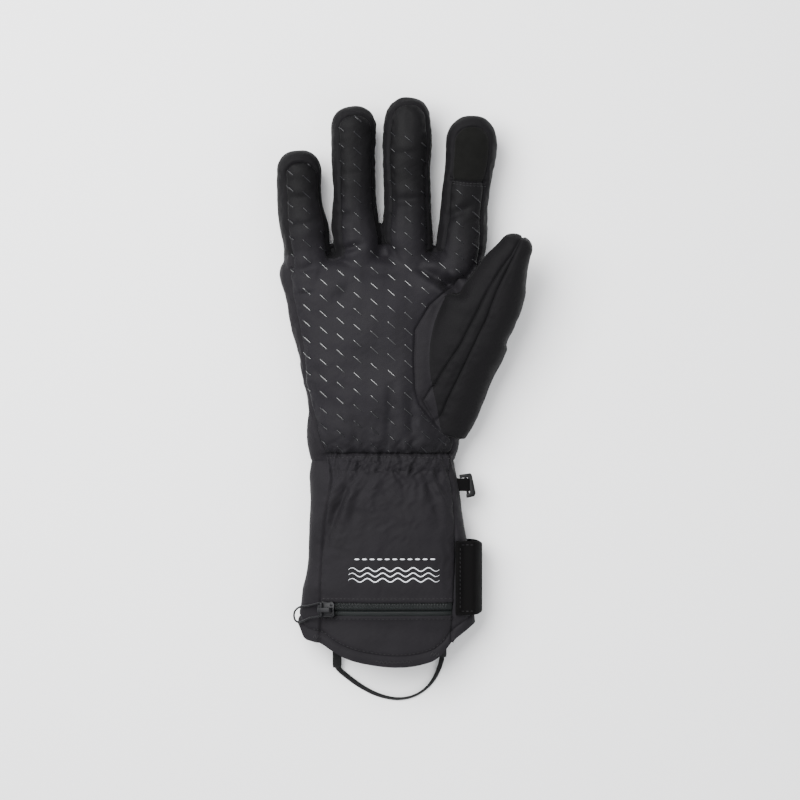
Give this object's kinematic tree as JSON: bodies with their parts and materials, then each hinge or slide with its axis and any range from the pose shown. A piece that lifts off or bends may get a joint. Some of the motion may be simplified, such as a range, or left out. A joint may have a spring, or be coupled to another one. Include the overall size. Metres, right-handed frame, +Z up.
{
  "type": "insulated gauntlet glove with a battery pocket",
  "caption": "Right-hand padded winter glove, palm up, with a long gauntlet, zipped battery pocket, gathered wrist, cuff strap, side clip and leash.",
  "frame": {"origin": "on the surface that the glove lies on, under the middle of the glove's own box", "axes": "+Z up out of the palm, +Y from the hem to the fingertips, +X to the thumb side"},
  "size_m": [0.1399, 0.3334, 0.0436],
  "materials": {
    "shell_cloth": "black softshell, finely woven face, matte",
    "palm_cloth": "black stretch softshell with raised glossy rubber grip dashes",
    "patch_cloth": "black suede-like conductive cloth",
    "zip_tape": "woven tape, slightly shiny",
    "zip_plastic": "moulded nylon coils",
    "black_metal": "black enamel, glossy and a little worn",
    "webbing": "dense black webbing",
    "black_plastic": "moulded black acetal",
    "ribbon": "narrow woven ribbon"
  },
  "bodies": {
    "glove": {"cuff_back": "shell_cloth", "hand_back": "shell_cloth", "little_finger_back": "shell_cloth", "ring_finger_back": "shell_cloth", "middle_finger_back": "shell_cloth", "index_finger_back": "shell_cloth", "palm_panel": "palm_cloth", "touch_patch": "patch_cloth", "thumb_shell": "shell_cloth", "thumb_strip": "shell_cloth", "wrist_gathers": "shell_cloth", "pocket_panel": "shell_cloth", "hem_panel": "shell_cloth", "hem_band": "shell_cloth", "zip_tape": "zip_tape", "zip_chain": "zip_plastic", "zip_slider": "black_metal", "cuff_strap": "webbing", "clip_hook": "black_plastic", "clip_webbing_palm_side": "webbing", "leash_ribbon": "ribbon", "leash_tab_left": "ribbon", "leash_tab_right": "ribbon"},
    "pull": {"zip_pull": "black_metal"}
  },
  "joints": [
    {"name": "pull_hinge", "type": "hinge", "parent": "glove", "child": "pull", "pos_m": [-0.0448, -0.12441, 0.03061], "axis": [0, 1, 0], "range_deg": [0, 165]}
  ]
}
